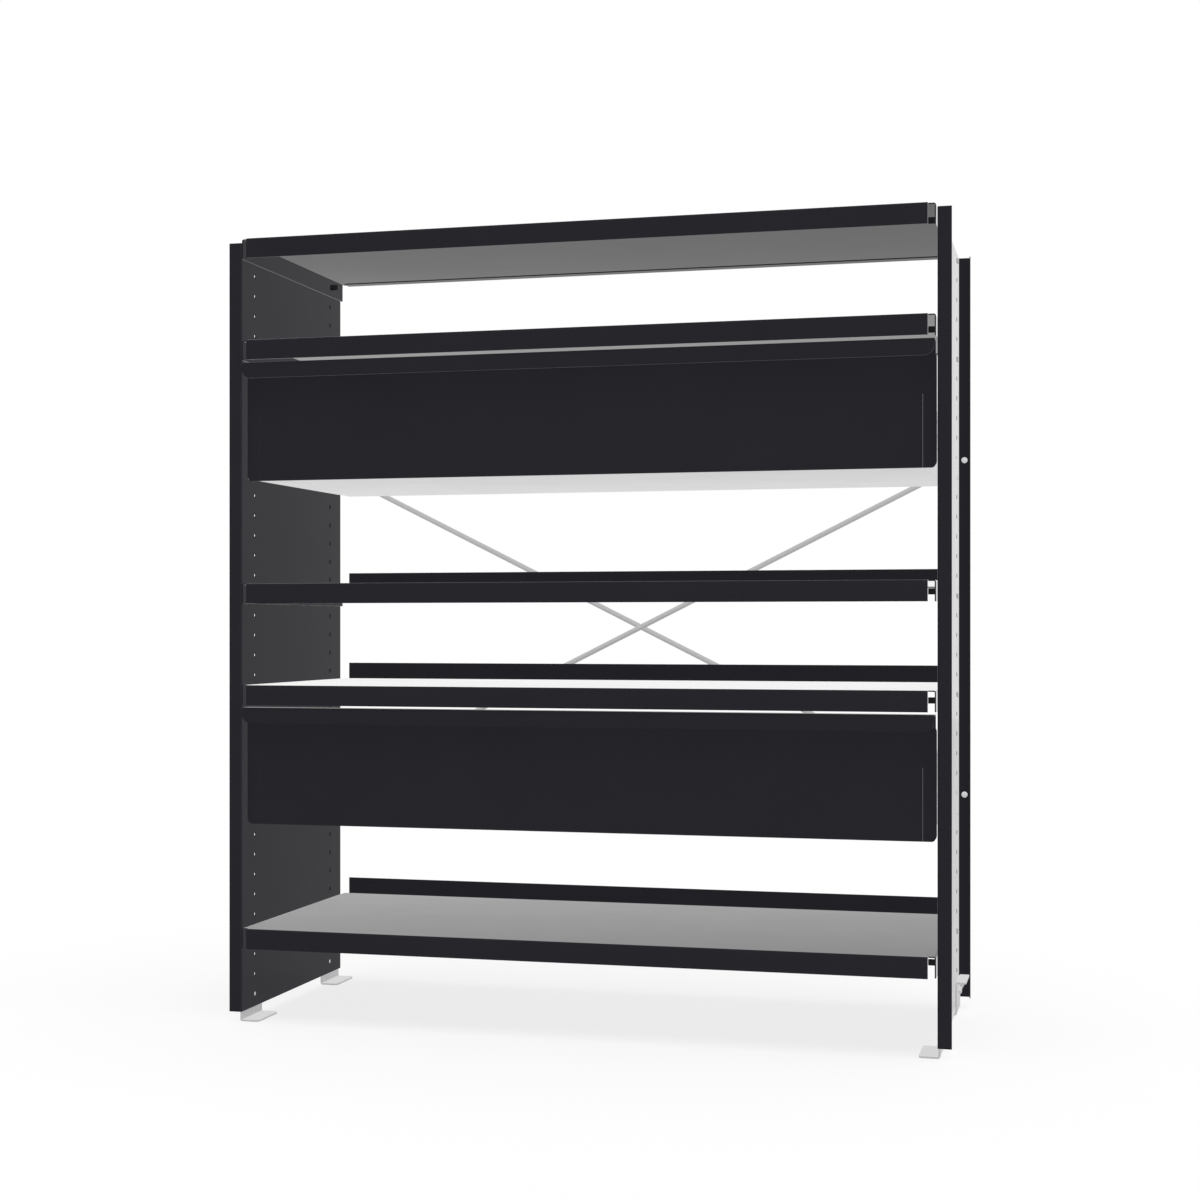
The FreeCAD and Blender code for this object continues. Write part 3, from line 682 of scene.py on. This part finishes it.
for name, side, start, slope in (("falling", 1, rod_heights[1], rod_angle),
                                 ("rising", -1, rod_heights[0], -rod_angle)):
    lie = Matrix.Translation((brace_x, eye_plane, start)) @ Matrix.Rotation(slope, 4, "Y")
    piece("drawn_rod_" + name, moved(round_rod(side), lie), drawn_rod,
          "frame", "bare_metal", "brace_rod_" + name)

facing_rear = Matrix.Rotation(math.radians(-90), 4, "X")
corners = [(x, height) for x in (brace_x, -brace_x) for height in rod_heights]
spacer = turned(there_and_back([(0.0, spacer_bore), (0.0, spacer_radius - spacer_chamfer),
                                (spacer_chamfer, spacer_radius)], spacer_length), 28, bored=True)
places = [Matrix.Translation((x, rear_face, height)) @ facing_rear for x, height in corners]
piece("turned_spacers", repeated(spacer, places), plated_steel, "frame", "hardware", "brace_spacers")

nut_face = rear_face + spacer_length + 2 * eye_half
places = [Matrix.Translation((x, nut_face, height)) @ facing_rear for x, height in corners]
piece("brace_hexagon_nuts", repeated(hexagon_nut(), places), plated_steel, "frame", "hardware", "brace_nuts")

flange_front = rear_face - panel_sheet
shank_length = nut_face + nut_height + stud_tail - flange_front
stations = [(z * mm - shank_length, radius * mm) for z, radius in bolt_point]
for turn in range(bolt_turns):
    z = bolt_point_length + bolt_pitch * turn - shank_length
    stations += [(z, bolt_radius), (z + bolt_pitch / 2, bolt_root)]
stations += [(bolt_thread - shank_length, bolt_radius), (0.0, bolt_radius)]
stations += [(z * mm, radius * mm) for z, radius in bolt_head]
stations += [(socket_mouth, socket_half, True), (socket_floor, socket_half, True)]
places = [Matrix.Translation((x, flange_front, height)) @ facing_front for x, height in corners]
piece("brace_socket_bolts", repeated(turned(stations, 24), places), plated_steel,
      "frame", "hardware", "brace_bolts")


# Studio: a plain white floor that shows the soft shadow of the unit, an even white surround, low
# lamps in front, at the right and behind that reach into the bays, and a broad high one that
# casts the shadow.
floor_half = 8.0
floor_bounce = (0.35, 0.35, 0.35, 1)
floor_glow_share = 0.77
mirrored_floor_glow = 0.83
surround_light = 0.2
white = (1.0, 1.0, 1.0, 1)
lamps = (("front_lamp", 2.25, 16, (-0.25, 0.966, -0.06), False),
         ("right_lamp", 2.8, 40, (-0.97, 0.24, -0.05), False),
         ("rear_lamp", 1.5, 40, (0.50, -0.85, -0.15), False),
         ("high_lamp", 1.9, 60, (-0.12, 0.10, -0.98), True))


def white_to_the_eye(tree):
    """1 for what is seen directly or mirrored, 0 for light that only falls on things."""
    path = add(tree, "ShaderNodeLightPath", {}).outputs
    seen = add(tree, "ShaderNodeMath", {0: path["Is Camera Ray"], 1: path["Is Glossy Ray"]},
               operation="MAXIMUM").outputs["Value"]
    return add(tree, "ShaderNodeMath", {0: seen, 1: path["Is Transmission Ray"]},
               operation="MAXIMUM").outputs["Value"]


floor_white = bpy.data.materials.new("floor_white")
floor_white.use_nodes = True
tree = floor_white.node_tree
tree.nodes.remove(tree.nodes["Principled BSDF"])
seen = white_to_the_eye(tree)
tint = mixed(tree, seen, floor_bounce, white)
matt = add(tree, "ShaderNodeBsdfDiffuse", {"Color": tint})
seen_directly = add(tree, "ShaderNodeLightPath", {}).outputs["Is Camera Ray"]
glow = add(tree, "ShaderNodeMapRange", {"Value": seen_directly, "To Min": mirrored_floor_glow, "To Max": 1.0})
plain = add(tree, "ShaderNodeEmission", {"Color": white, "Strength": glow.outputs["Result"]})
share = add(tree, "ShaderNodeMath", {0: seen, 1: floor_glow_share}, operation="MULTIPLY")
bright = add(tree, "ShaderNodeMixShader", {0: share.outputs["Value"], 1: matt.outputs["BSDF"],
                                           2: plain.outputs["Emission"]})
tree.links.new(bright.outputs["Shader"], tree.nodes["Material Output"].inputs["Surface"])

floor_shape = bmesh.new()
bmesh.ops.create_grid(floor_shape, x_segments=1, y_segments=1, size=floor_half)
floor_mesh = bpy.data.meshes.new("floor")
floor_shape.to_mesh(floor_mesh)
floor_shape.free()
floor_mesh.materials.append(floor_white)
floor = bpy.data.objects.new("floor", floor_mesh)
bpy.context.scene.collection.objects.link(floor)

surround = bpy.data.worlds.new("surround")
surround.use_nodes = True
tree = surround.node_tree
background = tree.nodes["Background"].inputs
strength = add(tree, "ShaderNodeMapRange",
               {"Value": white_to_the_eye(tree), "To Min": surround_light, "To Max": 1.0})
background["Color"].default_value = white
tree.links.new(strength.outputs["Result"], background["Strength"])
bpy.context.scene.world = surround

for name, energy, spread, aim, shadow in lamps:
    lamp_data = bpy.data.lights.new(name, "SUN")
    lamp_data.energy = energy
    lamp_data.angle = math.radians(spread)
    lamp_data.use_shadow = shadow
    lamp = bpy.data.objects.new(name, lamp_data)
    lamp.visible_glossy = False
    lamp.rotation_mode = "QUATERNION"
    lamp.rotation_quaternion = Vector(aim).to_track_quat("-Z", "Y")
    bpy.context.scene.collection.objects.link(lamp)
bpy.context.scene.view_settings.view_transform = "Standard"


# Camera: eye level half way up the unit, a little to its right, level, with a small shift that
# sets the horizon below the middle of the picture.
camera_data = bpy.data.cameras.new("camera")
camera_data.sensor_width = 36.0
camera_data.lens = 58.75
camera_data.shift_y = 0.0223
camera = bpy.data.objects.new("camera", camera_data)
camera.location = (0.6074, -2.4058, 0.4879)
camera.rotation_euler = (math.radians(90), 0, math.radians(14.4447))
bpy.context.scene.collection.objects.link(camera)
bpy.context.scene.camera = camera
